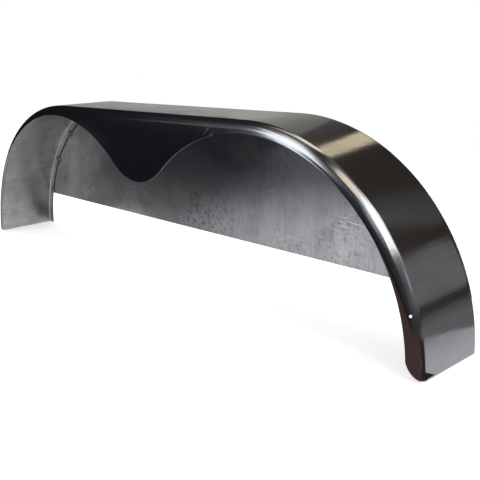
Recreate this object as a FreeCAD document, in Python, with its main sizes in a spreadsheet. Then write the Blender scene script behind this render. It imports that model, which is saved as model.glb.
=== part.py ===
import FreeCAD, Part
import math
import os
import Sketcher

# Tandem-axle trailer mudguard: a bare steel skin formed over two wheels, a flat back plate
# behind the skin's rear flange, and the weld tacks that hold the plate.
# Frame: X along the mudguard, Y from its open front to the back plate, Z up.
# The origin lies under the middle, on the surface that the two feet stand on.

# Driving dimensions in millimetres and degrees: name, value, meaning
SIZES = [
    ("overall_length", 1829, "outside of one foot to the outside of the other"),
    ("overall_depth", 229, "front of the skirt to the rear of the back plate"),
    ("overall_height", 495, "floor to the flat crown"),
    ("sheet_gauge", 1.9, "14 gauge sheet, for the skin and the plate"),
    ("shoulder_radius", 506, "outside radius of the tread over each wheel"),
    ("roll_radius", 25, "outside radius of the rolled front edge"),
    ("bend_radius", 8, "outside radius of the rear bend"),
    ("flange_width", 25, "rear flange, from the tread's surface to its free edge"),
    ("arch_radius", 462, "radius of each wheel opening in the skirt"),
    ("crown_lip", 29, "depth of the skirt above a wheel opening"),
    ("foot_lip", 32.5, "width of the skirt beside a wheel opening"),
    ("valley_radius", 160, "rounded tip of the skirt between the wheels"),
    ("corner_radius", 50, "rounded front corner of each foot"),
    ("plate_lift", 122, "floor to the lower edge of the back plate"),
    ("plate_margin", 3, "tread's surface to the rim of the back plate"),
    ("hole_diameter", 6, "small hole through the rolled edge"),
    ("hole_rise", 17.5, "place of the hole along the shoulder, in degrees from level"),
    ("hole_turn", 50, "place of the hole round the roll, in degrees from the tread"),
    ("tack_length", 13, "weld tack, along the flange's edge"),
    ("tack_width", 8, "weld tack, across the flange's edge"),
    ("tack_height", 3.2, "weld tack, above the back plate"),
    ("tack_pitch", 146, "usual spacing of the tacks along the flange's edge"),
    ("tack_margin", 10, "lower edge of the plate to the first tack"),
]

# Every cut runs this far past the metal, so that it never ends flush with a face
CLEAR = 20
# Lengths below this count as nothing when faces and edges are picked
TINY = 1e-4
# A foot's front corner is trimmed along this turn about the upright
DIAGONAL = FreeCAD.Rotation(FreeCAD.Vector(0, 1, 0), 45)

# Centres of the two shoulders and of the two wheel openings, as formulas of the sizes
SHOULDER_LEVEL = "(Sizes.overall_height - Sizes.shoulder_radius)"
SHOULDER_REACH = f"(sqrt(Sizes.shoulder_radius ^ 2 - {SHOULDER_LEVEL} ^ 2))"
SHOULDER_MIDDLE = f"(Sizes.overall_length / 2 - {SHOULDER_REACH})"
ARCH_LEVEL = "(Sizes.overall_height - Sizes.crown_lip - Sizes.arch_radius)"
ARCH_MIDDLE = "(Sizes.overall_length / 2 - Sizes.foot_lip - Sizes.arch_radius)"

# Free edge of the skirt, level with the top of the foot's rounded corner
CORNER_RISE = f"(Sizes.corner_radius - {ARCH_LEVEL})"
CORNER_EDGE = f"({ARCH_MIDDLE} + sqrt(Sizes.arch_radius ^ 2 - {CORNER_RISE} ^ 2))"

# Distances forward of the middle plane, as formulas of the sizes
SKIRT_FACE = "(Sizes.overall_depth / 2)"
PLATE_REAR = "(-Sizes.overall_depth / 2)"
PLATE_FRONT = "(Sizes.sheet_gauge - Sizes.overall_depth / 2)"

doc = FreeCAD.newDocument("TrailerMudguard")
sheet = doc.addObject("Spreadsheet::Sheet", "Sizes")
for row, (alias, value, meaning) in enumerate(SIZES, start=1):
    sheet.set(f"A{row}", meaning)
    sheet.set(f"B{row}", str(value))
    sheet.setAlias(f"B{row}", alias)
doc.recompute()


def size(formula):
    """Number that a formula of the sheet's sizes gives."""
    return float(doc.Sizes.evalExpression(formula))


def plane(body, role):
    """One of the body's own origin planes."""
    return next(feature for feature in body.Origin.OriginFeatures if feature.Role == role)


def side_sketch(body, name, forward, across="0", up="0", turn=None):
    """Sketch seen from the front, with its origin at a place given by formulas, turned if asked."""
    sketch = body.newObject("Sketcher::SketchObject", name)
    sketch.AttachmentSupport = [(plane(body, "XZ_Plane"), "")]
    sketch.MapMode = "FlatFace"
    if turn:
        sketch.AttachmentOffset = FreeCAD.Placement(FreeCAD.Vector(), turn)
    for axis, formula in (("x", across), ("y", up), ("z", forward)):
        sketch.setExpression(f"AttachmentOffset.Base.{axis}", formula)
    return sketch


def drive(sketch, name, formula, kind, *where):
    """Adds a dimension to a sketch and ties it to a formula of the sheet."""
    index = sketch.addConstraint(Sketcher.Constraint(kind, *where, size(formula)))
    sketch.renameConstraint(index, name)
    sketch.setExpression(f"Constraints.{name}", formula)


def point(x, z):
    return FreeCAD.Vector(x, z, 0)


def add_arc(sketch, centre, radius, start, end):
    """Arc that runs anticlockwise between two angles in degrees."""
    circle = Part.Circle(centre, FreeCAD.Vector(0, 0, 1), radius)
    return sketch.addGeometry(Part.ArcOfCircle(circle, math.radians(start), math.radians(end)))


def add_line(sketch, start, end):
    return sketch.addGeometry(Part.LineSegment(start, end))


def draw_tread(sketch, inset, foot):
    """Side view of the tread: two shoulders joined by the flat crown, closed along its foot.

    inset is a formula for how far the outline lies inside the tread's outer surface, and
    foot is a formula for the height of the line that closes it.
    """
    radius = f"(Sizes.shoulder_radius - {inset})"
    r, x, z, low = size(radius), size(SHOULDER_MIDDLE), size(SHOULDER_LEVEL), size(foot)
    lean = math.degrees(math.asin((low - z) / r))
    toe = x + r * math.cos(math.radians(lean))
    right = add_arc(sketch, point(x, z), r, lean, 90)
    left = add_arc(sketch, point(-x, z), r, 90, 180 - lean)
    crown = add_line(sketch, point(x, z + r), point(-x, z + r))
    closing = add_line(sketch, point(-toe, low), point(toe, low))
    sketch.addConstraint([
        Sketcher.Constraint("Tangent", right, 2, crown, 1),
        Sketcher.Constraint("Tangent", left, 1, crown, 2),
        Sketcher.Constraint("Coincident", left, 2, closing, 1),
        Sketcher.Constraint("Coincident", closing, 2, right, 1),
        Sketcher.Constraint("Horizontal", closing),
        Sketcher.Constraint("Equal", right, left),
        Sketcher.Constraint("Symmetric", right, 3, left, 3, -2),
    ])
    drive(sketch, "radius", radius, "Radius", right)
    drive(sketch, "middle", SHOULDER_MIDDLE, "DistanceX", -1, 1, right, 3)
    drive(sketch, "level", SHOULDER_LEVEL, "DistanceY", -1, 1, right, 3)
    drive(sketch, "foot", foot, "DistanceY", -1, 1, closing, 1)


def draw_openings(sketch):
    """Both wheel openings, which meet under the rounded tip of the skirt between them."""
    r, x, z = size("Sizes.arch_radius"), size(ARCH_MIDDLE), size(ARCH_LEVEL)
    tip = size("Sizes.valley_radius")
    tip_z = z + math.sqrt((r + tip) ** 2 - x ** 2)
    turn = math.degrees(math.atan2(tip_z - z, -x))
    lean = math.degrees(math.asin((-CLEAR - z) / r))
    toe = x + r * math.cos(math.radians(lean))
    right = add_arc(sketch, point(x, z), r, lean, turn)
    left = add_arc(sketch, point(-x, z), r, 180 - turn, 180 - lean)
    valley = add_arc(sketch, point(0, tip_z), tip, 360 - turn, 180 + turn)
    closing = add_line(sketch, point(-toe, -CLEAR), point(toe, -CLEAR))
    sketch.addConstraint([
        Sketcher.Constraint("Tangent", right, 2, valley, 2),
        Sketcher.Constraint("Tangent", left, 1, valley, 1),
        Sketcher.Constraint("Coincident", left, 2, closing, 1),
        Sketcher.Constraint("Coincident", closing, 2, right, 1),
        Sketcher.Constraint("Horizontal", closing),
        Sketcher.Constraint("Equal", right, left),
        Sketcher.Constraint("Symmetric", right, 3, left, 3, -2),
    ])
    drive(sketch, "radius", "Sizes.arch_radius", "Radius", right)
    drive(sketch, "valley", "Sizes.valley_radius", "Radius", valley)
    drive(sketch, "middle", ARCH_MIDDLE, "DistanceX", -1, 1, right, 3)
    drive(sketch, "level", ARCH_LEVEL, "DistanceY", -1, 1, right, 3)
    drive(sketch, "foot", f"-{CLEAR}", "DistanceY", -1, 1, closing, 1)


def draw_corner(sketch):
    """What is trimmed off a foot's front corner, seen along the diagonal of that corner.

    The sketch's origin lies on the free edge of the skirt.
    """
    r = size("Sizes.corner_radius")
    curve = add_arc(sketch, point(r, r), r, 180, 270)
    corners = [point(r, 0), point(r, -CLEAR), point(-CLEAR, -CLEAR), point(-CLEAR, r), point(0, r)]
    sides = [add_line(sketch, a, b) for a, b in zip(corners, corners[1:])]
    joints = [(curve, 2, sides[0], 1), (sides[3], 2, curve, 1)]
    joints += [(a, 2, b, 1) for a, b in zip(sides, sides[1:])]
    sketch.addConstraint([Sketcher.Constraint("Coincident", *joint) for joint in joints])
    sketch.addConstraint([
        Sketcher.Constraint("Vertical", sides[0]),
        Sketcher.Constraint("Horizontal", sides[1]),
        Sketcher.Constraint("Vertical", sides[2]),
        Sketcher.Constraint("Horizontal", sides[3]),
        Sketcher.Constraint("PointOnObject", curve, 1, -2),
        Sketcher.Constraint("PointOnObject", curve, 2, -1),
        Sketcher.Constraint("Vertical", curve, 3, curve, 2),
    ])
    drive(sketch, "radius", "Sizes.corner_radius", "Radius", curve)
    drive(sketch, "height", "Sizes.corner_radius", "DistanceY", -1, 1, curve, 1)
    drive(sketch, "under", f"-{CLEAR}", "DistanceY", -1, 1, sides[1], 1)
    drive(sketch, "outside", f"-{CLEAR}", "DistanceX", -1, 1, sides[2], 1)


def draw_hole(sketch):
    rim = Part.Circle(point(0, 0), FreeCAD.Vector(0, 0, 1), size("Sizes.hole_diameter / 2"))
    circle = sketch.addGeometry(rim)
    sketch.addConstraint(Sketcher.Constraint("Coincident", circle, 3, -1, 1))
    drive(sketch, "radius", "Sizes.hole_diameter / 2", "Radius", circle)


def hole_sketch(body):
    """Sketch that touches the rolled edge, square to its surface where the hole goes through."""
    rise = math.radians(size("Sizes.hole_rise"))
    along_shoulder = FreeCAD.Vector(-math.sin(rise), math.cos(rise), 0)
    turn = FreeCAD.Rotation(along_shoulder, 90 - size("Sizes.hole_turn"))
    sink = "Sizes.roll_radius * (1 - cos(Sizes.hole_turn * 1 deg))"
    inset = "Sizes.roll_radius * (1 - sin(Sizes.hole_turn * 1 deg))"
    reach = f"(Sizes.shoulder_radius - {sink})"
    across = f"{SHOULDER_MIDDLE} + {reach} * cos(Sizes.hole_rise * 1 deg)"
    up = f"{SHOULDER_LEVEL} + {reach} * sin(Sizes.hole_rise * 1 deg)"
    return side_sketch(body, "HoleCircle", f"{SKIRT_FACE} - {inset}", across, up, turn)


def cut(body, name, sketch, depth, both_ways=False):
    """Pocket into the body behind the sketch, or both ways from it, that must remove metal."""
    before = body.Shape.Volume
    pocket = body.newObject("PartDesign::Pocket", name)
    pocket.Profile = sketch
    pocket.SideType = "Symmetric" if both_ways else "One side"
    pocket.setExpression("Length", depth)
    doc.recompute()
    if not pocket.Shape.Volume < before:
        raise RuntimeError(f"{name} removes nothing")
    return pocket


def edges_across(shape, y):
    """Names of the edges that lie at one depth, apart from those on the floor."""
    names = []
    for number, edge in enumerate(shape.Edges, start=1):
        box = edge.BoundBox
        at_depth = abs(box.YMin - y) < TINY and abs(box.YMax - y) < TINY
        if at_depth and box.ZMax > TINY:
            names.append(f"Edge{number}")
    return names


def floor_face(shape):
    """Name of the face that lies on the floor."""
    numbered = enumerate(shape.Faces, start=1)
    return next(f"Face{number}" for number, face in numbered if face.BoundBox.ZMax < TINY)


def make_skin():
    """One sheet: tread, rolled front edge, skirt with its openings, and rear flange."""
    body = doc.addObject("PartDesign::Body", "Skin")
    body.Label = "fender_skin"
    outline = side_sketch(body, "SkinOutline", SKIRT_FACE)
    draw_tread(outline, "0", "0")
    block = body.newObject("PartDesign::Pad", "SkinBlock")
    block.Profile = outline
    block.Reversed = True
    block.setExpression("Length", "Sizes.overall_depth - Sizes.sheet_gauge")
    doc.recompute()

    roll = body.newObject("PartDesign::Fillet", "FrontRoll")
    roll.Base = (block, edges_across(block.Shape, -size(SKIRT_FACE)))
    roll.setExpression("Radius", "Sizes.roll_radius")
    doc.recompute()
    bend = body.newObject("PartDesign::Fillet", "RearBend")
    bend.Base = (roll, edges_across(roll.Shape, -size(PLATE_FRONT)))
    bend.setExpression("Radius", "Sizes.bend_radius")
    doc.recompute()
    sheet_metal = body.newObject("PartDesign::Thickness", "SheetMetal")
    sheet_metal.Base = (bend, [floor_face(bend.Shape)])
    sheet_metal.Reversed = True
    sheet_metal.setExpression("Value", "Sizes.sheet_gauge")
    doc.recompute()

    openings = side_sketch(body, "WheelOpenings", SKIRT_FACE)
    draw_openings(openings)
    cut(body, "FrontOpening", openings, "Sizes.roll_radius")
    window = side_sketch(body, "FlangeWindow", PLATE_FRONT)
    draw_tread(window, "Sizes.flange_width", f"-{CLEAR}")
    cut(body, "RearOpening", window, "2 * Sizes.bend_radius", both_ways=True)

    corner = side_sketch(body, "FootCorner", SKIRT_FACE, across=CORNER_EDGE, turn=DIAGONAL)
    draw_corner(corner)
    trim = cut(body, "CornerTrim", corner, "4 * Sizes.roll_radius", both_ways=True)
    other_foot = body.newObject("PartDesign::Mirrored", "OtherFoot")
    other_foot.Originals = [trim]
    other_foot.MirrorPlane = (plane(body, "YZ_Plane"), [""])
    body.Tip = other_foot
    doc.recompute()

    drill = hole_sketch(body)
    draw_hole(drill)
    cut(body, "RollHole", drill, "6 * Sizes.sheet_gauge", both_ways=True)
    return body


def make_plate():
    """Flat sheet behind the rear flange, cut straight across between the feet."""
    body = doc.addObject("PartDesign::Body", "BackPlate")
    body.Label = "back_plate"
    outline = side_sketch(body, "PlateOutline", PLATE_REAR)
    draw_tread(outline, "Sizes.plate_margin", "Sizes.plate_lift")
    blank = body.newObject("PartDesign::Pad", "PlateBlank")
    blank.Profile = outline
    blank.setExpression("Length", "Sizes.sheet_gauge")
    doc.recompute()
    return body


def tack_places():
    """Centre and turn of each tack: spaced along the flange's edge from one foot to the other."""
    r = size("Sizes.shoulder_radius - Sizes.flange_width")
    x, z = size(SHOULDER_MIDDLE), size(SHOULDER_LEVEL)
    start = math.asin((size("Sizes.plate_lift") - z) / r)
    shoulder = r * (math.pi / 2 - start)
    margin = size("Sizes.tack_margin")
    run = shoulder + x - margin
    count = round(run / size("Sizes.tack_pitch"))
    places = []
    for step in range(count + 1):
        along = margin + run * step / count
        if along < shoulder:
            rise = start + along / r
            places.append((x + r * math.cos(rise), z + r * math.sin(rise), 90 - math.degrees(rise)))
        else:
            places.append((x + shoulder - along, z + r, 0))
    mirrored = [(-px, pz, -turn) for px, pz, turn in places[:-1]]
    return places + mirrored


def make_tacks(skin):
    """Weld tacks in the corner between the flange's edge and the plate, one group of solids.

    Each is a mound with sides that slope at 45 degrees, from the plate up to a flat ridge.
    """
    forward = FreeCAD.Rotation(FreeCAD.Vector(0, 0, 1), 180)
    beads = []
    for number, (x, z, turn) in enumerate(tack_places(), start=1):
        bead = doc.addObject("Part::Wedge", f"Bead{number}")
        bead.Ymin = 0
        bead.setExpression("Ymax", "Sizes.tack_height")
        for axis, width in (("X", "Sizes.tack_length"), ("Z", "Sizes.tack_width")):
            bead.setExpression(f"{axis}min", f"-{width} / 2")
            bead.setExpression(f"{axis}max", f"{width} / 2")
            bead.setExpression(f"{axis}2min", f"Sizes.tack_height - {width} / 2")
            bead.setExpression(f"{axis}2max", f"{width} / 2 - Sizes.tack_height")
        along = FreeCAD.Rotation(FreeCAD.Vector(0, 1, 0), turn)
        bead.Placement = FreeCAD.Placement(FreeCAD.Vector(x, -size(PLATE_FRONT), z), along * forward)
        beads.append(bead)
    group = doc.addObject("Part::Compound", "Beads")
    group.Links = beads
    tacks = doc.addObject("Part::Cut", "Tacks")
    tacks.Label = "tack_welds"
    tacks.Base = group
    tacks.Tool = skin
    doc.recompute()
    return tacks


def check(parts):
    """Stops if any object failed, a sketch is loose or a finished shape is unsound."""
    for item in doc.Objects:
        if "Invalid" in item.State or "Error" in item.State:
            raise RuntimeError(f"{item.Label} failed: {item.State}")
        if item.TypeId == "Sketcher::SketchObject" and not item.FullyConstrained:
            raise RuntimeError(f"{item.Label} is not fully constrained")
    for part in parts:
        if part.Shape.isNull() or not part.Shape.isValid() or not part.Shape.Solids:
            raise RuntimeError(f"{part.Label} has no sound shape")


skin = make_skin()
plate = make_plate()
tacks = make_tacks(skin)
parts = [skin, plate, tacks]
check(parts)

os.makedirs("parts", exist_ok=True)
for part in parts:
    part.Shape.exportStep(f"parts/{part.Label}.step")
    box = part.Shape.BoundBox
    print(f"{part.Label}: {len(part.Shape.Solids)} solids, {part.Shape.Volume:.0f} mm3,"
          f" x {box.XMin:.1f} to {box.XMax:.1f}, y {box.YMin:.1f} to {box.YMax:.1f},"
          f" z {box.ZMin:.1f} to {box.ZMax:.1f}")
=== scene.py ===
import math

import bmesh
import bpy
from mathutils import Euler, Matrix, Vector


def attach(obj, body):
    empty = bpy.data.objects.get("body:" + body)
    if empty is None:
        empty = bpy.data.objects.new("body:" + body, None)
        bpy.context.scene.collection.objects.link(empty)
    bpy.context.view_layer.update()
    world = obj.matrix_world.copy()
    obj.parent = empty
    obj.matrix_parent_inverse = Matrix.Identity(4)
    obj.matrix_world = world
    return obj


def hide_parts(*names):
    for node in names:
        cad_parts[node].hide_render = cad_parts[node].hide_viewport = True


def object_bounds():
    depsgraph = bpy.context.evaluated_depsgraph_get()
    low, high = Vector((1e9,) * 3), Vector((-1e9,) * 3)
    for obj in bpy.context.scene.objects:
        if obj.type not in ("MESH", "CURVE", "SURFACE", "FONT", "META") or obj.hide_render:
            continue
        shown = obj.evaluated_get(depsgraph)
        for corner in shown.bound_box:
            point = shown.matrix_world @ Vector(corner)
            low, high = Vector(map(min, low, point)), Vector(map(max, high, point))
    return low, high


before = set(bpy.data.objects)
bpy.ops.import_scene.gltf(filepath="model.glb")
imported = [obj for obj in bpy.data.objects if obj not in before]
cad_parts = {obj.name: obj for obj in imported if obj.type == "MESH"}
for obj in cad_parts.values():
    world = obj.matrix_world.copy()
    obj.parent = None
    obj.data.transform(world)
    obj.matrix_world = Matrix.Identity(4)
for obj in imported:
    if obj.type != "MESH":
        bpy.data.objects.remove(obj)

bl_info = {
    "name": "Tandem axle trailer mudguard",
    "version": (1, 0, 0),
    "blender": (4, 5, 0),
    "location": "View3D > Sidebar > Mudguard",
    "description": "Bare steel mudguard over two wheels, with its back plate and weld tacks",
    "category": "Object",
}

CAD_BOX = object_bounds()
LOW, HIGH = (Vector(corner) for corner in CAD_BOX)
# Two places closer than this are the same place
NEAR = 1e-5
# Edges sharper than this get a bevel, and those flatter than the second angle are shaded smooth
SHARP = math.radians(60)
SMOOTH = math.radians(30)
# Height of the mats on the studio's floor
MAT = 0.0015
# A quarter turn of the section, and the sense in which the sweep goes round a shoulder
ROLL_TURN = math.pi / 2
SHOULDER_TURN = -1
# Middle of the scuff on the skirt, and of the hand marks low on the back plate
SCUFF = (0.300, -0.1145, 0.455)
HAND_MARKS = (0.040, 0.113, 0.150)
# Half the width over which a heat mark fades, and how far noise moves that rim outwards. Then how
# far the painted shade of the gap reaches to either side of the flange's edge: at most, and where
# it is full
HEAT_FADE = 0.010
HEAT_RAGGED = 0.022
DIRT_REACH = 0.005
DIRT_FULL = 0.001


def linear(code):
    """Linear colour with full alpha from an sRGB hex code."""
    channels = [int(code[start:start + 2], 16) / 255 for start in (0, 2, 4)]
    return [c / 12.92 if c <= 0.04045 else ((c + 0.055) / 1.055) ** 2.4 for c in channels] + [1.0]


def length(name, default, description):
    """A length in metres that the user can change."""
    return bpy.props.FloatProperty(name=name, default=default, description=description,
                                   min=0.0, unit="LENGTH", precision=4)


def turn(name, default, description):
    """An angle that the user can change. The default is in degrees."""
    return bpy.props.FloatProperty(name=name, default=math.radians(default),
                                   description=description, unit="ROTATION")


def colour(name, code, description):
    """A colour that the user can change. The default is an sRGB hex code."""
    return bpy.props.FloatVectorProperty(name=name, default=linear(code), size=4, min=0.0, max=1.0,
                                         description=description, subtype="COLOR")


class MudguardSizes(bpy.types.PropertyGroup):
    """Sizes of the mudguard."""

    length: length("Length", HIGH.x - LOW.x, "Outside of one foot to the outside of the other")
    depth: length("Depth", HIGH.y - LOW.y, "Front of the skirt to the rear of the back plate")
    height: length("Height", HIGH.z, "Floor to the flat crown")
    gauge: length("Gauge", 0.0019, "Thickness of the skin and of the back plate")
    shoulder: length("Shoulder", 0.506, "Outside radius of the tread over each wheel")
    roll: length("Roll", 0.025, "Outside radius of the rolled front edge")
    bend: length("Bend", 0.008, "Outside radius of the rear bend")
    flange: length("Flange", 0.025, "Tread's surface to the rear flange's free edge")
    arch: length("Arch", 0.462, "Radius of each wheel opening")
    crown_lip: length("Crown lip", 0.029, "Depth of the skirt above a wheel opening")
    foot_lip: length("Foot lip", 0.0325, "Width of the skirt beside a wheel opening")
    valley: length("Valley", 0.160, "Radius of the skirt's tip between the wheels")
    corner: length("Corner", 0.050, "Radius of each foot's front corner")
    edge: length("Cut edge", 0.0006, "Width of the worn bevel along each cut edge")
    plate_lift: length("Plate lift", 0.122, "Floor to the back plate's lower edge")
    plate_margin: length("Plate margin", 0.003, "Tread's surface to the back plate's rim")
    hole: length("Hole", 0.006, "Diameter of the hole through the rolled edge")
    hole_rise: turn("Hole rise", 17.5, "Place of the hole along the shoulder")
    hole_turn: turn("Hole turn", 50, "Place of the hole round the roll")
    tack_length: length("Tack length", 0.013, "Weld tack, along the flange's edge")
    tack_width: length("Tack width", 0.008, "Weld tack, across the flange's edge")
    tack_height: length("Tack height", 0.0031, "Weld tack, above the back plate")
    tack_pitch: length("Tack pitch", 0.146, "Usual spacing of the tacks")
    tack_margin: length("Tack margin", 0.010, "Back plate's lower edge to the first tack")


class MudguardColours(bpy.types.PropertyGroup):
    """Colours of the mudguard's steel."""

    skin: colour("Skin", "b4b4b6", "Clean cold rolled sheet")
    skin_dull: colour("Skin, dull", "a5a4a4", "The same sheet under a film of oil and fingerprints")
    plate: colour("Plate", "b2b2b6", "Mill finish of the back plate")
    plate_dark: colour("Plate, dark", "6a6a6c", "Smudges and spots on the back plate")
    inside: colour("Inside", "c6c6c6", "Inside of the same sheet, satin from the forming rolls")
    inside_dull: colour("Inside, dull", "989897", "The inside where smoke and oil lie on it")
    edge: colour("Cut edge", "e6e6e8", "Freshly cut metal along the edges")
    weld: colour("Weld", "c6c2bc", "Top of a weld tack")
    # This colour also paints the shade in the gap along the flange's free edge
    heat: colour("Heat mark", "2d2b2e", "Scale that the welding left round each tack")


class MudguardStage(bpy.types.PropertyGroup):
    """Camera and light of the stage."""

    focal: bpy.props.FloatProperty(name="Focal length", default=53.03, min=1.0, unit="CAMERA",
                                   description="Focal length of the camera, in millimetres")
    heading: turn("Heading", 49.45, "Camera's turn to the left from straight at the open front")
    drop: turn("Drop", 17.01, "Camera's tilt down from level")
    roll: turn("Roll", -1.70, "Camera's roll about its own axis")
    fill: bpy.props.FloatProperty(name="Fill light", default=0.85, min=0.0,
                                  description="Strength of the even light from all round")


def sizes():
    """The size sheet."""
    return bpy.context.scene.mudguard_sizes


def shoulder_centre():
    """Middle of the right shoulder, as x and z."""
    s = sizes()
    level = s.height - s.shoulder
    return s.length / 2 - math.sqrt(s.shoulder ** 2 - level ** 2), level


def arch_centre():
    """Middle of the right wheel opening, as x and z."""
    s = sizes()
    return s.length / 2 - s.foot_lip - s.arch, s.height - s.crown_lip - s.arch


def start_piece(name, place):
    """New object with a single vertex at a place, left open in edit mode."""
    bpy.ops.object.select_all(action="DESELECT")
    bpy.ops.mesh.primitive_plane_add(size=0.01)
    piece = bpy.context.object
    piece.name = piece.data.name = name
    bpy.ops.object.mode_set(mode="EDIT")
    move_to_one_vertex(place)
    return piece


def add_vertex(place):
    """New vertex in the open mesh, the only one selected."""
    bpy.ops.mesh.select_all(action="DESELECT")
    bpy.ops.mesh.primitive_plane_add(size=0.01)
    move_to_one_vertex(place)


def move_to_one_vertex(place):
    bpy.ops.mesh.select_mode(type="VERT")
    bpy.ops.mesh.merge(type="CENTER")
    bpy.ops.transform.translate(value=place)


def pick(test, kind="VERT"):
    """Selects what passes a test of its middle, in the mesh that is open in edit mode."""
    bpy.ops.mesh.select_mode(type=kind)
    bpy.ops.mesh.select_all(action="DESELECT")
    mesh = bmesh.from_edit_mesh(bpy.context.object.data)
    chosen = 0
    for item in {"VERT": mesh.verts, "EDGE": mesh.edges, "FACE": mesh.faces}[kind]:
        corners = [item.co] if kind == "VERT" else [vertex.co for vertex in item.verts]
        if all(test(corner) for corner in corners):
            item.select_set(True)
            chosen += 1
    mesh.select_flush_mode()
    bmesh.update_edit_mesh(bpy.context.object.data)
    if not chosen:
        raise RuntimeError("nothing in the mesh passes the test")


def sweep(steps, angle, centre, axis):
    """Turns the selection about an axis and leaves a surface behind it."""
    bpy.ops.mesh.spin(steps=steps, angle=angle, center=centre, axis=axis)


def push(steps, way):
    """Moves the selection in equal steps and leaves a surface behind it."""
    for _ in range(steps):
        bpy.ops.mesh.extrude_region_move(
            TRANSFORM_OT_translate={"value": Vector(way) / steps})


def apply_modifier(piece, kind, **settings):
    """Adds a modifier with its settings and applies it."""
    bpy.ops.object.modifier_add(type=kind)
    modifier = piece.modifiers[-1]
    for setting, value in settings.items():
        setattr(modifier, setting, value)
    bpy.ops.object.modifier_apply(modifier=modifier.name)


def clean_normals():
    """Merges what lies in one place and points the faces outwards."""
    bpy.ops.mesh.select_all(action="SELECT")
    bpy.ops.mesh.remove_doubles(threshold=NEAR)
    bpy.ops.mesh.normals_make_consistent(inside=False)


def finish_piece(piece, node, slot, *materials):
    """Smooths a piece, gives it what materials it still lacks, and replaces its CAD node."""
    bpy.ops.object.shade_smooth_by_angle(angle=SMOOTH)
    for material in materials:
        piece.data.materials.append(material)
    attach(piece, "root")
    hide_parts(node)


def add_node(tree, kind, inputs=(), **settings):
    """Adds a shader node, sets its options, and gives each input its value, or a link to a socket
    or to the first output of a node."""
    node = tree.nodes.new("ShaderNode" + kind)
    for option, value in settings.items():
        setattr(node, option, value)
    for socket, value in dict(inputs).items():
        if isinstance(value, bpy.types.Node):
            value = next(output for output in value.outputs if output.enabled)
        if isinstance(value, bpy.types.NodeSocket):
            tree.links.new(value, node.inputs[socket])
        else:
            node.inputs[socket].default_value = value
    return node


def new_material(name):
    """Empty node material and its tree."""
    material = bpy.data.materials.new(name)
    material.use_nodes = True
    material.node_tree.nodes.clear()
    return material, material.node_tree


def new_steel(name):
    """Empty material for one kind of steel, its tree, the place on the object and the colours."""
    material, tree = new_material(name)
    place = add_node(tree, "TexCoord").outputs["Object"]
    return material, tree, place, bpy.context.scene.mudguard_colours


def per_metre(millimetres):
    """Noise scale of a pattern whose marks repeat about every so many millimetres."""
    return 1000 / millimetres


def tack_run():
    """Angle where the flange's edge meets the plate's lower edge, its length round one shoulder,
    and the number and spacing of the tacks on one half."""
    s = sizes()
    x, z = shoulder_centre()
    radius = s.shoulder - s.flange
    start = math.asin((s.plate_lift - z) / radius)
    shoulder = radius * (math.pi / 2 - start)
    run = shoulder + x - s.tack_margin
    count = round(run / s.tack_pitch)
    return start, shoulder, count, run / count


def heat_marks(tree, place):
    """1 at a tack on the flange's edge, fading raggedly to 0 about 20 mm away from it. Between the
    tacks a thin dark line of painted shade, for the shadow in the gap under the flange, follows
    that edge, but not on the back of the plate."""
    s = sizes()
    x, z = shoulder_centre()
    radius = s.shoulder - s.flange
    rear = s.depth / 2
    start, _, _, pitch = tack_run()
    split = add_node(tree, "SeparateXYZ", {"Vector": place})
    side = add_node(tree, "Math", {0: split.outputs["X"]}, operation="ABSOLUTE")
    across = add_node(tree, "Math", {0: side, 1: x}, operation="SUBTRACT")
    up = add_node(tree, "Math", {0: split.outputs["Z"], 1: z}, operation="SUBTRACT")
    # How far the place is from the line of the flange's edge, round the shoulder or on the crown
    outside = add_node(tree, "Math", {0: across, 1: 0.0}, operation="MAXIMUM")
    upward = add_node(tree, "Math", {0: up, 1: up}, operation="MULTIPLY")
    reach = add_node(tree, "Math", {0: outside, 1: outside, 2: upward}, operation="MULTIPLY_ADD")
    reach = add_node(tree, "Math", {0: reach}, operation="SQRT")
    off_edge = add_node(tree, "Math", {0: reach, 1: radius}, operation="SUBTRACT")
    # How far the place is along that line from the nearest tack
    rise = add_node(tree, "Math", {0: up, 1: outside}, operation="ARCTAN2")
    round_it = add_node(tree, "Math", {
        0: rise, 1: radius, 2: -start * radius - s.tack_margin}, operation="MULTIPLY_ADD")
    inside = add_node(tree, "Math", {0: across, 1: 0.0}, operation="MINIMUM")
    along = add_node(tree, "Math", {0: round_it, 1: inside}, operation="SUBTRACT")
    beside = add_node(tree, "Math", {0: along, 1: pitch / 2}, operation="PINGPONG")
    # Both together, with a ragged rim
    square = add_node(tree, "Math", {0: off_edge, 1: off_edge}, operation="MULTIPLY")
    away = add_node(tree, "Math", {0: beside, 1: beside, 2: square}, operation="MULTIPLY_ADD")
    away = add_node(tree, "Math", {0: away}, operation="SQRT")
    ragged = add_node(tree, "TexNoise", {"Vector": place, "Scale": per_metre(12), "Detail": 3.0})
    away = add_node(tree, "Math", {0: ragged, 1: -HEAT_RAGGED, 2: away}, operation="MULTIPLY_ADD")
    mark = add_node(tree, "MapRange", {
        "Value": away, "From Min": HEAT_FADE, "From Max": -HEAT_FADE
    }, interpolation_type="SMOOTHSTEP")
    # Painted shade: a thin dark line along the flange's free edge, standing in for the shadow in
    # the gap between flange and plate
    seam = add_node(tree, "MapRange", {
        "Value": square, "From Min": DIRT_REACH ** 2, "From Max": DIRT_FULL ** 2, "To Max": 0.75})
    not_behind = add_node(tree, "MapRange", {
        "Value": split.outputs["Y"], "From Min": rear, "From Max": rear - s.gauge / 2})
    seam = add_node(tree, "Math", {0: seam, 1: not_behind}, operation="MULTIPLY")
    mark = add_node(tree, "Math", {0: mark, 1: seam}, operation="MAXIMUM")
    at_plate = add_node(tree, "MapRange", {
        "Value": split.outputs["Y"], "From Min": rear - s.flange, "From Max": rear - s.bend})
    return add_node(tree, "Math", {0: mark, 1: at_plate}, operation="MULTIPLY")


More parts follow.
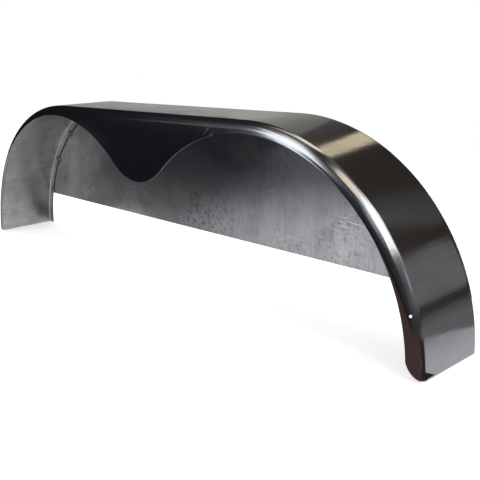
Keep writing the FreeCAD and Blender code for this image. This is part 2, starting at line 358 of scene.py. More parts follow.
def cold_rolled_steel():
    """Cold rolled steel sheet, formed and left bare. Its smooth skin mirrors the room softly, in
    long bands round the shoulders, and a film of oil dulls it in patches."""
    material, tree, place, hues = new_steel("cold_rolled_steel_sheet")
    s = sizes()
    # Roller lines run along the depth; real ones are 0.1 mm apart, drawn 5 mm apart so they show
    drawn = add_node(tree, "Mapping", {"Vector": place, "Scale": (1.0, 0.02, 1.0)})
    lines = add_node(tree, "TexNoise", {"Vector": drawn, "Scale": per_metre(5), "Detail": 4.0})
    # Oil and handling leave patches about a hand wide
    film = add_node(tree, "TexNoise", {"Vector": place, "Scale": per_metre(90), "Detail": 4.0})
    # The sheet is never dead flat: shallow waves a quarter metre long bend its reflections
    waves = add_node(tree, "TexNoise", {"Vector": place, "Scale": per_metre(240), "Detail": 1.0})
    dull = add_node(tree, "MapRange", {
        "Value": film, "From Min": 0.35, "From Max": 0.8, "To Max": 0.6})
    streaks = add_node(tree, "MapRange", {"Value": lines, "From Min": 0.35, "From Max": 0.65})
    dull = add_node(tree, "Math", {0: streaks, 1: 0.3, 2: dull}, operation="MULTIPLY_ADD")
    sheet = add_node(tree, "Mix", {
        0: dull, 6: tuple(hues.skin), 7: tuple(hues.skin_dull)}, data_type="RGBA")
    # One handling scuff on the skirt: a few slanting hairlines, 3 mm apart, inside 30 mm
    slant = add_node(tree, "Mapping", {
        "Vector": place, "Rotation": (0.0, -0.75, 0.0), "Scale": (30.0, 1.0, 1.0)
    }, vector_type="TEXTURE")
    hairs = add_node(tree, "TexNoise", {"Vector": slant, "Scale": per_metre(3), "Detail": 1.0})
    hairs = add_node(tree, "MapRange", {"Value": hairs, "From Min": 0.58, "From Max": 0.70})
    near = add_node(tree, "VectorMath", {0: place, 1: SCUFF}, operation="DISTANCE")
    near = add_node(tree, "MapRange", {
        "Value": near.outputs["Value"], "From Min": 0.034, "From Max": 0.012})
    scuff = add_node(tree, "Math", {0: hairs, 1: near}, operation="MULTIPLY")
    # Scale from the weld tacks, and painted shade along the flange's free edge for the gap's shadow
    heat = heat_marks(tree, place)
    burnt = add_node(tree, "Mix", {0: heat, 6: sheet, 7: tuple(hues.heat)}, data_type="RGBA")
    rough = add_node(tree, "MapRange", {
        "Value": film, "From Min": 0.35, "From Max": 0.75, "To Min": 0.09, "To Max": 0.12})
    rough = add_node(tree, "Math", {0: lines, 1: 0.05, 2: rough}, operation="MULTIPLY_ADD")
    rough = add_node(tree, "Math", {0: scuff, 1: 0.3, 2: rough}, operation="MULTIPLY_ADD")
    # The rollers that turned the front edge left it a little rougher than the tread and the skirt
    front = -s.depth / 2
    split = add_node(tree, "SeparateXYZ", {"Vector": place})
    off_tread = add_node(tree, "MapRange", {
        "Value": split.outputs["Y"], "From Min": front + s.roll, "From Max": front + s.roll / 2})
    off_skirt = add_node(tree, "MapRange", {
        "Value": split.outputs["Y"], "From Min": front, "From Max": front + s.roll / 4})
    formed = add_node(tree, "Math", {0: off_tread, 1: off_skirt}, operation="MULTIPLY")
    rough = add_node(tree, "Math", {0: formed, 1: 0.05, 2: rough}, operation="MULTIPLY_ADD")
    bumps = add_node(tree, "Bump", {"Height": waves, "Distance": 0.0003, "Strength": 0.5})
    bumps = add_node(tree, "Bump", {
        "Height": lines, "Distance": 0.00016, "Strength": 0.5, "Normal": bumps})
    shader = add_node(tree, "BsdfPrincipled", {
        "Base Color": burnt, "Metallic": 1.0, "Roughness": rough, "Normal": bumps})
    add_node(tree, "OutputMaterial", {"Surface": shader})
    return material


def inside_steel():
    """Inside of the cold rolled sheet, dulled by the forming rolls and by welding smoke. It is an
    even satin grey, with faint ribs across it, dark scale round each weld, and a thin line of
    painted shade along the flange's free edge."""
    material, tree, place, hues = new_steel("satin_rolled_steel_inside")
    # Chatter of the forming rolls, ribs 7 mm apart along the depth
    drawn = add_node(tree, "Mapping", {"Vector": place, "Scale": (1.0, 0.06, 1.0)})
    ribs = add_node(tree, "TexNoise", {"Vector": drawn, "Scale": per_metre(7), "Detail": 2.0})
    # Smoke and oil in patches about 60 mm across
    smoke = add_node(tree, "TexNoise", {"Vector": place, "Scale": per_metre(60), "Detail": 5.0})
    dull = add_node(tree, "MapRange", {
        "Value": smoke, "From Min": 0.35, "From Max": 0.75, "To Max": 0.5
    }, interpolation_type="SMOOTHSTEP")
    worn = add_node(tree, "MapRange", {"Value": ribs, "From Min": 0.4, "From Max": 0.6})
    dull = add_node(tree, "Math", {0: worn, 1: 0.16, 2: dull}, operation="MULTIPLY_ADD")
    sheet = add_node(tree, "Mix", {
        0: dull, 6: tuple(hues.inside), 7: tuple(hues.inside_dull)}, data_type="RGBA")
    burnt = add_node(tree, "Mix", {
        0: heat_marks(tree, place), 6: sheet, 7: tuple(hues.heat)}, data_type="RGBA")
    rough = add_node(tree, "Math", {0: ribs, 1: 0.16, 2: 0.27}, operation="MULTIPLY_ADD")
    bumps = add_node(tree, "Bump", {"Height": ribs, "Distance": 0.0003, "Strength": 0.5})
    shader = add_node(tree, "BsdfPrincipled", {
        "Base Color": burnt, "Metallic": 1.0, "Roughness": rough, "Normal": bumps})
    add_node(tree, "OutputMaterial", {"Surface": shader})
    return material


def cut_steel():
    """Sheared and ground edge of the sheet. Its torn grain and burr scatter light in all
    directions, so it looks paler than the skin and only half like a mirror."""
    material, tree, place, hues = new_steel("sheared_steel_edge")
    # Grinding marks about 2 mm apart
    marks = add_node(tree, "TexNoise", {"Vector": place, "Scale": per_metre(2), "Detail": 2.0})
    ground = add_node(tree, "MapRange", {"Value": marks, "From Min": 0.3, "From Max": 0.7})
    tone = add_node(tree, "Mix", {
        0: ground, 6: tuple(hues.skin_dull), 7: tuple(hues.edge)}, data_type="RGBA")
    rough = add_node(tree, "MapRange", {"Value": ground, "To Min": 0.4, "To Max": 0.6})
    shader = add_node(tree, "BsdfPrincipled", {
        "Base Color": tone, "Metallic": 0.45, "Roughness": rough})
    add_node(tree, "OutputMaterial", {"Surface": shader})
    return material


def mill_steel():
    """Hot rolled, pickled steel plate as it leaves the mill. It is satin, cloudy and spotted,
    with faint upright streaks, a few scratches, dark scale round each weld, and a thin line of
    painted shade along the flange's free edge."""
    material, tree, place, hues = new_steel("pickled_mill_steel_plate")
    # Clouds of the pickling, about 70 mm across, in zones twice as wide
    clouds = add_node(tree, "TexNoise", {"Vector": place, "Scale": per_metre(70), "Detail": 6.0})
    zones = add_node(tree, "TexNoise", {"Vector": place, "Scale": per_metre(160), "Detail": 2.0})
    # Fingerprints and dried drops of oil, 8 to 15 mm across, only in some zones
    spots = add_node(tree, "TexNoise", {"Vector": place, "Scale": per_metre(14), "Detail": 8.0})
    spots = add_node(tree, "MapRange", {
        "Value": spots, "From Min": 0.48, "From Max": 0.68, "To Max": 0.6
    }, interpolation_type="SMOOTHSTEP")
    soiled = add_node(tree, "MapRange", {
        "Value": zones, "From Min": 0.46, "From Max": 0.60, "To Max": 0.6
    }, interpolation_type="SMOOTHSTEP")
    handled = add_node(tree, "VectorMath", {0: place, 1: HAND_MARKS}, operation="DISTANCE")
    handled = add_node(tree, "MapRange", {
        "Value": handled.outputs["Value"], "From Min": 0.17, "From Max": 0.06})
    soiled = add_node(tree, "Math", {0: soiled, 1: handled}, operation="MAXIMUM")
    # Upright streaks, 4 mm apart
    upright = add_node(tree, "Mapping", {"Vector": place, "Scale": (1.0, 1.0, 0.05)})
    streaks = add_node(tree, "TexNoise", {"Vector": upright, "Scale": per_metre(4), "Detail": 3.0})
    streaks = add_node(tree, "MapRange", {"Value": streaks, "From Min": 0.4, "From Max": 0.8})
    # Grain of the pickled surface, 3 mm apart
    grain = add_node(tree, "TexNoise", {"Vector": place, "Scale": per_metre(3), "Detail": 2.0})
    grain = add_node(tree, "MapRange", {"Value": grain, "From Min": 0.4, "From Max": 0.65})
    # Long thin scratches that slope a little, 2 mm apart where they are crowded
    sloping = add_node(tree, "Mapping", {
        "Vector": place, "Rotation": (0.0, 0.10, 0.0), "Scale": (40.0, 1.0, 1.0)
    }, vector_type="TEXTURE")
    scratches = add_node(tree, "TexNoise", {
        "Vector": sloping, "Scale": per_metre(2), "Detail": 1.0})
    scratches = add_node(tree, "MapRange", {"Value": scratches, "From Min": 0.70, "From Max": 0.75})
    crowded = add_node(tree, "MapRange", {"Value": zones, "From Min": 0.50, "From Max": 0.60})
    scored = add_node(tree, "Math", {0: scratches, 1: crowded}, operation="MULTIPLY")
    # How dark all of it makes the plate
    dark = add_node(tree, "Math", {0: spots, 1: soiled}, operation="MULTIPLY")
    cloudy = add_node(tree, "MapRange", {
        "Value": clouds, "From Min": 0.38, "From Max": 0.70}, interpolation_type="SMOOTHSTEP")
    dark = add_node(tree, "Math", {0: cloudy, 1: 0.28, 2: dark}, operation="MULTIPLY_ADD")
    dark = add_node(tree, "Math", {0: grain, 1: 0.16, 2: dark}, operation="MULTIPLY_ADD")
    dark = add_node(tree, "Math", {
        0: streaks, 1: 0.26, 2: dark}, operation="MULTIPLY_ADD", use_clamp=True)
    tone = add_node(tree, "Mix", {
        0: dark, 6: tuple(hues.plate), 7: tuple(hues.plate_dark)}, data_type="RGBA")
    tone = add_node(tree, "Mix", {0: scored, 6: tone, 7: tuple(hues.edge)}, data_type="RGBA")
    burnt = add_node(tree, "Mix", {
        0: heat_marks(tree, place), 6: tone, 7: tuple(hues.heat)}, data_type="RGBA")
    rough = add_node(tree, "Math", {0: clouds, 1: 0.09, 2: 0.19}, operation="MULTIPLY_ADD")
    bumps = add_node(tree, "Bump", {"Height": zones, "Distance": 0.0004, "Strength": 0.5})
    shader = add_node(tree, "BsdfPrincipled", {
        "Base Color": burnt, "Metallic": 1.0, "Roughness": rough, "Normal": bumps})
    add_node(tree, "OutputMaterial", {"Surface": shader})
    return material


def weld_steel():
    """Mild steel weld bead, left as it set. Rippled grey metal under a thin dull crust of slag,
    with flakes of dark scale."""
    material, tree, place, hues = new_steel("mild_steel_weld_bead")
    # Flakes of scale 4 mm across, on ripples that are a good millimetre apart
    flakes = add_node(tree, "TexNoise", {"Vector": place, "Scale": per_metre(4), "Detail": 3.0})
    flakes = add_node(tree, "MapRange", {
        "Value": flakes, "From Min": 0.4, "From Max": 0.75, "To Max": 0.7})
    ripples = add_node(tree, "TexNoise", {"Vector": place, "Scale": per_metre(1.2)})
    tone = add_node(tree, "Mix", {
        0: flakes, 6: tuple(hues.weld), 7: tuple(hues.heat)}, data_type="RGBA")
    rough = add_node(tree, "MapRange", {"Value": flakes, "To Min": 0.3, "To Max": 0.55})
    bumps = add_node(tree, "Bump", {"Height": ripples, "Distance": 0.0003})
    shader = add_node(tree, "BsdfPrincipled", {
        "Base Color": tone, "Metallic": 0.6, "Roughness": rough, "Normal": bumps})
    add_node(tree, "OutputMaterial", {"Surface": shader})
    return material


class MUDGUARD_OT_skin(bpy.types.Operator):
    """Model the formed skin: tread, rolled edge, skirt with its openings, and rear flange"""

    bl_idname = "mudguard.skin"
    bl_label = "Formed skin"

    # Faces round a quarter of the roll and of the bend, across the tread, and along the metal
    ROLL_STEPS = 16
    BEND_STEPS = 8
    TREAD_STEPS = 24
    SHOULDER_STEPS = 96
    CROWN_STEPS = 48
    VALLEY_STEPS = 14
    CORNER_STEPS = 12
    # The sweeps of the tread and of the skirt run this far past the floor, then are cut level
    OVERRUN = math.radians(2)
    SKIRT_OVERRUN = math.radians(4)
    HOLE_SIDES = 24

    def execute(self, context):
        s = sizes()
        front = -s.depth / 2
        piece = start_piece("formed_skin", (shoulder_centre()[0], front, s.height - s.roll))
        self.sweep_tread(s, front)
        self.add_skirt(s, front)
        self.trim_foot(s, front)
        clean_normals()
        bpy.ops.object.mode_set(mode="OBJECT")
        apply_modifier(piece, "MIRROR", merge_threshold=NEAR)
        bpy.ops.object.mode_set(mode="EDIT")
        clean_normals()
        bpy.ops.object.mode_set(mode="OBJECT")
        self.face_out(piece)
        for material in (cold_rolled_steel(), inside_steel(), cut_steel()):
            piece.data.materials.append(material)
        apply_modifier(piece, "SOLIDIFY", thickness=s.gauge, offset=-1.0, use_even_offset=True,
                       material_offset=1, material_offset_rim=2)
        apply_modifier(piece, "BEVEL", width=s.edge, segments=1, limit_method="ANGLE",
                       angle_limit=SHARP, material=2)
        self.drill(piece, s, front)
        self.dull_flange(piece, s)
        finish_piece(piece, "fender_skin", "skin_steel")
        return {"FINISHED"}

    def sweep_tread(self, s, front):
        """Section from the skirt to the flange, swept round the shoulder and along the crown."""
        x, z = shoulder_centre()
        rear = s.depth / 2 - s.gauge
        sweep(self.ROLL_STEPS, ROLL_TURN, (x, front + s.roll, s.height - s.roll), (1, 0, 0))
        push(self.TREAD_STEPS, (0, rear - s.bend - front - s.roll, 0))
        sweep(self.BEND_STEPS, ROLL_TURN, (x, rear - s.bend, s.height - s.bend), (1, 0, 0))
        push(2, (0, 0, s.bend - s.flange))
        bpy.ops.mesh.select_all(action="SELECT")
        around = math.pi / 2 + self.OVERRUN
        sweep(self.SHOULDER_STEPS, SHOULDER_TURN * around, (x, 0, z), (0, 1, 0))
        pick(lambda place: place.x < x + NEAR)
        push(self.CROWN_STEPS, (-x, 0, 0))

    def add_skirt(self, s, front):
        """Flat skirt between the roll and the line of the tip and the wheel opening."""
        x, z = arch_centre()
        rise = math.sqrt((s.arch + s.valley) ** 2 - x ** 2)
        lean = math.atan2(rise, x)
        around = math.pi - lean + self.SKIRT_OVERRUN
        steps = self.SHOULDER_STEPS + self.CROWN_STEPS - self.VALLEY_STEPS
        add_vertex((0, front, z + rise - s.valley))
        sweep(self.VALLEY_STEPS, -SHOULDER_TURN * (math.pi / 2 - lean), (0, 0, z + rise), (0, 1, 0))
        sweep(steps, SHOULDER_TURN * around, (x, 0, z), (0, 1, 0))
        pick(lambda place: abs(place.y - front) < NEAR, "EDGE")
        bpy.ops.mesh.bridge_edge_loops()

    def trim_foot(self, s, front):
        """Foot cut level with the floor, and its front corner rounded along its diagonal."""
        bpy.ops.mesh.select_all(action="SELECT")
        bpy.ops.mesh.bisect(plane_co=(0, 0, 0), plane_no=(0, 0, 1), clear_inner=True)
        x, z = arch_centre()
        edge = x + math.sqrt(s.arch ** 2 - (s.corner - z) ** 2)
        diagonal = Vector((1, 1, 0)).normalized()
        start = Vector((edge, front, 0))
        middle = start + s.corner * (diagonal + Vector((0, 0, 1)))
        bpy.ops.mesh.select_all(action="SELECT")
        bpy.ops.mesh.bisect(plane_co=middle, plane_no=(0, 0, 1))
        for step in range(self.CORNER_STEPS):
            angle = math.pi / 2 * (step + 0.5) / self.CORNER_STEPS
            way = -(math.cos(angle) * diagonal + math.sin(angle) * Vector((0, 0, 1)))
            pick(lambda place: place.z < s.corner + NEAR and place.x > edge - s.roll
                 and (place - start).dot(diagonal) < s.corner * 1.5, "FACE")
            bpy.ops.mesh.bisect(plane_co=middle + s.corner * way, plane_no=way, clear_outer=True)

    def face_out(self, piece):
        """Turns the sheet over if its crown points down."""
        crown = max(piece.data.polygons, key=lambda face: face.center.z)
        if crown.normal.z < 0:
            bpy.ops.object.mode_set(mode="EDIT")
            bpy.ops.mesh.select_all(action="SELECT")
            bpy.ops.mesh.flip_normals()
            bpy.ops.object.mode_set(mode="OBJECT")

    def dull_flange(self, piece, s):
        """The whole rear flange, its free edge too, has the satin finish of the inside."""
        bpy.ops.object.mode_set(mode="EDIT")
        pick(lambda place: place.y > s.depth / 2 - 3 * s.gauge and place.z > NEAR, "FACE")
        piece.active_material_index = 1
        bpy.ops.object.material_slot_assign()
        bpy.ops.object.mode_set(mode="OBJECT")

    def drill(self, piece, s, front):
        """Small hole through the rolled edge of the right foot, square to its surface."""
        x, z = shoulder_centre()
        outward = Vector((math.cos(s.hole_rise), 0, math.sin(s.hole_rise)))
        square = math.cos(s.hole_turn) * outward - math.sin(s.hole_turn) * Vector((0, 1, 0))
        middle = Vector((x, front + s.roll, z)) + (s.shoulder - s.roll) * outward + s.roll * square
        bpy.ops.mesh.primitive_cylinder_add(
            vertices=self.HOLE_SIDES, radius=s.hole / 2, depth=6 * s.gauge, location=middle,
            rotation=square.to_track_quat("Z", "Y").to_euler())
        drill = bpy.context.object
        bpy.ops.object.select_all(action="DESELECT")
        piece.select_set(True)
        bpy.context.view_layer.objects.active = piece
        apply_modifier(piece, "BOOLEAN", object=drill, operation="DIFFERENCE", solver="EXACT")
        bpy.data.objects.remove(drill)


class MUDGUARD_OT_plate(bpy.types.Operator):
    """Model the flat back plate behind the skin's rear flange"""

    bl_idname = "mudguard.plate"
    bl_label = "Back plate"

    SHOULDER_STEPS = 96

    def execute(self, context):
        s = sizes()
        x, z = shoulder_centre()
        rear = s.depth / 2
        radius = s.shoulder - s.plate_margin
        start = math.asin((s.plate_lift - z) / radius)
        piece = start_piece("steel_back_plate", (x, rear, z + radius))
        sweep(self.SHOULDER_STEPS, SHOULDER_TURN * (math.pi / 2 - start), (x, 0, z), (0, 1, 0))
        pick(lambda place: abs(place.x - x) < NEAR)
        push(1, (-x, 0, 0))
        bpy.ops.object.mode_set(mode="OBJECT")
        apply_modifier(piece, "MIRROR", merge_threshold=NEAR)
        bpy.ops.object.mode_set(mode="EDIT")
        bpy.ops.mesh.select_all(action="SELECT")
        bpy.ops.mesh.remove_doubles(threshold=NEAR)
        bpy.ops.mesh.edge_face_add()
        bpy.ops.mesh.select_all(action="SELECT")
        push(1, (0, -s.gauge, 0))
        clean_normals()
        bpy.ops.object.mode_set(mode="OBJECT")
        apply_modifier(piece, "BEVEL", width=s.edge, segments=1, limit_method="ANGLE",
                       angle_limit=SHARP)
        finish_piece(piece, "back_plate", "plate_steel", mill_steel())
        return {"FINISHED"}


class MUDGUARD_OT_tacks(bpy.types.Operator):
    """Model one rippled weld tack and copy it along the flange's edge"""

    bl_idname = "mudguard.tacks"
    bl_label = "Weld tacks"

    SEGMENTS = 16
    RINGS = 14
    # Every second ring is drawn in to this share of its width, which leaves ripples between them
    RIPPLE = 0.9
    # Where the egg is cut flat, and what smoothing leaves of the size sheet's height
    CUT = 0.15
    TOP = 0.97

    def execute(self, context):
        s = sizes()
        first = self.make_bead(s)
        beads = [self.copy_bead(first, number, *place)
                 for number, place in enumerate(self.places(s))]
        bpy.data.objects.remove(first)
        bpy.ops.object.select_all(action="DESELECT")
        for bead in beads:
            bead.select_set(True)
        context.view_layer.objects.active = beads[0]
        bpy.ops.object.join()
        piece = context.object
        piece.name = piece.data.name = "weld_beads"
        finish_piece(piece, "tack_welds", "weld_metal", weld_steel())
        return {"FINISHED"}

    def make_bead(self, s):
        """Half an egg on the plate, its long axis along X, with raised ripples across it."""
        bpy.ops.object.select_all(action="DESELECT")
        bpy.ops.mesh.primitive_uv_sphere_add(
            segments=self.SEGMENTS, ring_count=self.RINGS, radius=1.0, rotation=(0, math.pi / 2, 0))
        bead = bpy.context.object
        bpy.ops.object.transform_apply(location=False, rotation=True, scale=False)
        bpy.ops.object.mode_set(mode="EDIT")
        for ring in range(2, self.RINGS - 1, 2):
            level = math.cos(math.pi * ring / self.RINGS)
            pick(lambda place: abs(place.x - level) < 0.01)
            bpy.ops.transform.resize(value=(1.0, self.RIPPLE, self.RIPPLE),
                                     center_override=(level, 0, 0))
        bpy.ops.mesh.select_all(action="SELECT")
        bpy.ops.mesh.bisect(plane_co=(0, self.CUT, 0), plane_no=(0, 1, 0), clear_outer=True,
                            use_fill=True)
        bpy.ops.object.mode_set(mode="OBJECT")
        bead.scale = (s.tack_length / 2, s.tack_height * self.TOP, s.tack_width / 2)
        bpy.ops.object.transform_apply(location=False, rotation=False, scale=True)
        apply_modifier(bead, "SUBSURF", levels=1, render_levels=1)
        return bead

    def places(self, s):
        """Middle of each tack as x and z, and its turn about Y."""
        x, z = shoulder_centre()
        radius = s.shoulder - s.flange
        start, shoulder, count, pitch = tack_run()
        half = []
        for step in range(count + 1):
            along = s.tack_margin + pitch * step
            if along < shoulder:
                rise = start + along / radius
                half.append((x + radius * math.cos(rise), z + radius * math.sin(rise),
                             math.pi / 2 - rise))
            else:
                half.append((x + shoulder - along, z + radius, 0.0))
        return half + [(-px, pz, -angle) for px, pz, angle in half[:-1]]

    def copy_bead(self, first, number, x, z, angle):
        """One copy with its own mesh, set in place and a little unlike its neighbours."""
        s = sizes()
        size = 0.94 + 0.05 * math.sin(2.4 * number)
        bead = first.copy()
        bead.data = first.data.copy()
        bpy.context.collection.objects.link(bead)
        place = Matrix.Translation((x, s.depth / 2 - s.gauge, z))
        turned = place @ Matrix.Rotation(angle, 4, "Y")
        bead.data.transform(turned @ Matrix.Diagonal((size, size, size, 1)))
        return bead


class MUDGUARD_OT_stage(bpy.types.Operator):
    """Set up the pale floor, the studio cards, the lamps, the white background and the camera"""

    bl_idname = "mudguard.stage"
    bl_label = "Stage"

    # Width and depth of the paper floor
    FLOOR = (6.0, 5.0, 1.0)
    # Of the camera: its place, and how far the photograph's frame sits off its axis
    CAMERA = (1.5944, -1.2831, 0.6607)
    SHIFT = (0.1001, 0.0489)
    # The name of each card, its colours, its place as x, y and z, its strength and its lean
    CARDS = (
        # Walls and ceiling of the tent
        ("tent_back", "3b3631", (-8, 6), 3.0, (-1, 5)),
        ("tent_front", "25262d 424145", (-8, 6), -4.1, (-1, 5)),
        ("tent_left", "1c1c1e", -6, (-5, 4), (-1, 5)),
        ("tent_right", "38383c 8c8c90", 5, (-4.5, 3), (0.6, 5)),
        ("tent_top", "232327 3a3a3c", (-8, 6), (-5, 4), 4.6),
        # Behind on the left, a pale card that the flat crown mirrors, and where it fades out
        ("dark_card", "222224", (-8, -2.75), 2.95, (0.9, 5)),
        ("pale_card", "b8b8b5", (-8, -2.15), 2.9, (-0.5, 1.0)),
        ("fading_card", "b0b0aa 52514b", (-2.7, -0.62), 2.9, (0.6, 2.8)),
        ("dark_edge", "2a2a2c", (-3.6, -2.0), 2.87, (1.45, 2.85), 1.0, 0.69),
        # The warm band over the right shoulder
        ("warm_card", "ffeeca", (-0.56, -0.12), 2.88, (1.9, 3.0), 1.0, 0.2),
        # A thin pale line and a dark field beside that band
        ("pale_line", "808286", (-1.30, -1.22), 2.86, (1.6, 2.9), 1.0, 0.2),
        ("dark_field", "565451 3c3936", (-1.22, -0.60), 2.86, (1.6, 2.9), 1.0, 0.2),
        ("warm_high", "d4d0c8 fff0dc", (-1.35, -0.1), 2.88, (3.1, 4.5), 2.2),
        ("warm_back", "908e88 fff0dc", (-2.0, 0.0), (1.2, 2.9), 4.5, 2.2),
        # The dim and the grey field down the right leg, and the bright wall above them
        ("dim_high", "707070", (0.0, 1.3), 2.9, (3.1, 4.5)),
        ("dim_card", "444242 605e5d", (1.35, 2.12), 2.9, (1.5, 2.5)),
        ("grey_card", "848484", (2.32, 5.0), 2.9, (0.25, 1.35)),
        ("lilac_back", "8c8c96", (2.9, 4.9), 2.95, (1.35, 2.55)),
        ("bright_back", "ffffff", (2.12, 5.0), 2.9, (2.55, 4.5), 1.8),
        # Bright ceiling on the right, and the wall under it
        ("bright_top", "ffffff", (2.8, 5.4), (-4.0, 2.9), 4.5, 2.4, -0.12),
        ("blue_top", "76829a f2f7ff", (2.8, 3.9), (-4.0, -2.3), 4.48, 2.3),
        ("bright_right", "ffffff", 4.9, (-4.0, 2.9), (3.2, 4.5), 2.4),
        ("violet_right", "c4c4d0", 4.85, (0.9, 2.9), (1.35, 2.2)),
        ("low_right", "48484c", 4.9, (-4.0, 3.0), (-0.5, 0.7)),
        ("warm_top", "fff0d8", (1.3, 2.8), (-2.9, 1.2), 4.5, 1.6, 0.05),
        ("warm_dim", "3c3b3a e8e4dc", (0.3, 3.0), (1.2, 2.9), 4.5),
        # Tall window in front on the left, wider towards its top, and the glow round it
        ("window_low", "f0f5ff", (-2.85, -2.0), -4.0, (0.0, 1.1), 2.0),
        ("window_middle", "f0f5ff", (-2.65, -1.6), -4.0, (1.1, 2.0), 2.3),
        ("window_high", "f0f6ff", (-3.1, -0.6), -4.0, (2.0, 4.5), 2.5),
        ("window_top", "f4f8ff", (-2.8, -0.5), (-4.0, -2.2), 4.5, 2.3),
        ("window_glow", "5c5c64 9c9ca0", (-5.5, -0.3), -4.05, (1.4, 4.5)),
        ("top_glow", "5c5c5e 8a8a8a", (-2.2, 0.1), (-4.0, 2.9), 4.55),
        ("top_left", "50505a", (-5.8, -2.6), (-4.0, -2.2), 4.52),
        ("top_front", "c4c4c8", (-0.5, 0.15), (-4.0, -2.4), 4.5),
        ("top_middle", "ffffff", (-1.35, -0.2), (-2.4, -0.8), 4.5, 1.3),
        ("front_glow", "a0a0ac 5c5c66", (-0.6, 1.2), -4.02, (2.5, 4.5)),
        ("front_right", "c8c8d2", (2.0, 3.6), -4.0, (2.35, 4.5), 1.0, 0.4),
        ("front_low", "8e8e96", (1.2, 2.2), -4.0, (1.6, 2.5), 1.0, 0.5),
        # Mats on the floor: dark ahead, pale where the back plate looks, brown by the right foot
        ("far_mat", "1a1b22", (-6.0, 4.0), (-4.0, -0.1), MAT),
        # Painted light: a pool of the window's light on the floor
        ("window_mat", "ffffff", (-2.85, -1.5), (-4.0, -3.25), 2 * MAT),
        ("left_mat", "c6c8ca", (-4.5, -2.2), (-1.35, -0.6), 2 * MAT),
        ("far_left_mat", "b8babc", (-4.2, -3.0), (-1.9, -1.35), 2 * MAT),
        ("middle_mat", "a4a4a4 747474", (-2.5, -0.6), (-0.65, -0.13), 2 * MAT),
        ("pale_mat", "9a9a9c ffffff", (-0.6, 0.25), (-1.0, -0.13), 2 * MAT, 1.2),
        ("pale_corner", "ffffff", (0.25, 0.5), (-0.4, -0.13), 2 * MAT, 1.2),
        ("brown_mat", "5a4a45", (0.5, 3.0), (-1.1, -0.095), 3 * MAT),
        ("brown_side", "5a4a45", (0.27, 0.5), (-1.1, -0.42), 3 * MAT),
        # Painted shade: a dark patch that the right foot's tread mirrors, in place of the foot's
        # shadow on the floor
        ("brown_corner", "3c302d", (0.9, 1.0), (-0.1, -0.055), 3 * MAT),
        ("brown_wedge", "3a3132", (1.115, 2.6), (-0.0895, 0.335), 2 * MAT, 1.0, 0.98),
        # Under the mudguard, and beyond its right foot
        ("under_left", "cacace", (-0.912, -0.72), (-0.1, 0.2), MAT),
        # Painted shade: a dark patch under the back plate's corner, that the left foot's inside
        # mirrors
        ("under_corner", "1c1c1e", (-0.870, -0.752), (0.090, 0.166), 2 * MAT),
        ("under_mat", "5c5c5f 8c8c8f", (-0.72, 0.912), (-0.1, 0.2), MAT),
        ("corner_mat", "ffffff", (-0.86, -0.6), (-0.2, -0.05), 3 * MAT, 1.1),
        # Painted shade: the floor behind the back plate, dark as in its shadow
        ("back_mat", "3c3c3e", (-0.912, 0.912), (0.2, 1.1), MAT),
        ("foot_mat", "dcdce0 a0a0a4", (0.914, 1.25), (-0.095, 0.34), MAT),
        ("side_mat", "6c5e5a", (1.25, 4.0), (-0.1, 0.34), MAT),
        ("step_mat", "7c7c7f 8c8c8e", (0.914, 4.0), (0.34, 1.0), MAT),
        ("far_right_mat", "7c7c7e 4c4c4e", (0.914, 4.0), (1.0, 2.9), MAT),
    )

    def execute(self, context):
        self.add_floor()
        self.add_background(context.scene.mudguard_stage.fill)
        self.add_cards()
        self.add_lamps()
        self.add_camera(context)
        context.scene.view_settings.view_transform = "Standard"
        return {"FINISHED"}

    def camera_or_mirror(self, tree):
        """1 for what the camera sees straight, mirrored in metal or through glass, and else 0."""
        path = add_node(tree, "LightPath")
        seen = add_node(tree, "Math", {
            0: path.outputs["Is Camera Ray"], 1: path.outputs["Is Glossy Ray"]
        }, operation="MAXIMUM")
        return add_node(tree, "Math", {
            0: seen, 1: path.outputs["Is Transmission Ray"]}, operation="MAXIMUM")

    def add_floor(self):
        """Pale matt paper that runs white, but keeps the shadow of what stands on it."""
        bpy.ops.object.select_all(action="DESELECT")
        bpy.ops.mesh.primitive_plane_add(size=1, location=(0, 0, 0))
        floor = bpy.context.object
        floor.name = floor.data.name = "paper_floor"
        floor.scale = self.FLOOR
        bpy.ops.object.transform_apply(scale=True)
        material, tree = new_material("white_paper")
        paper = add_node(tree, "BsdfDiffuse", {"Color": linear("f0f0ef")})
        lift = add_node(tree, "Math", {
            0: self.camera_or_mirror(tree), 1: 0.5}, operation="MULTIPLY")
        glow = add_node(tree, "Emission", {"Strength": lift})
        both = add_node(tree, "AddShader", {0: paper, 1: glow})
        add_node(tree, "OutputMaterial", {"Surface": both})
        floor.data.materials.append(material)

    def add_background(self, fill):
        """White background, and an even light that doesn't depend on it."""
        world = bpy.data.worlds.new("studio")
        world.use_nodes = True
        tree = world.node_tree
        tree.nodes.clear()
        white = add_node(tree, "Background", {"Color": linear("ffffff"), "Strength": 1.0})
        even = add_node(tree, "Background", {"Color": linear("ffffff"), "Strength": fill})
        both = add_node(tree, "MixShader", {0: self.camera_or_mirror(tree), 1: even, 2: white})
        add_node(tree, "OutputWorld", {"Surface": both})
        bpy.context.scene.world = world

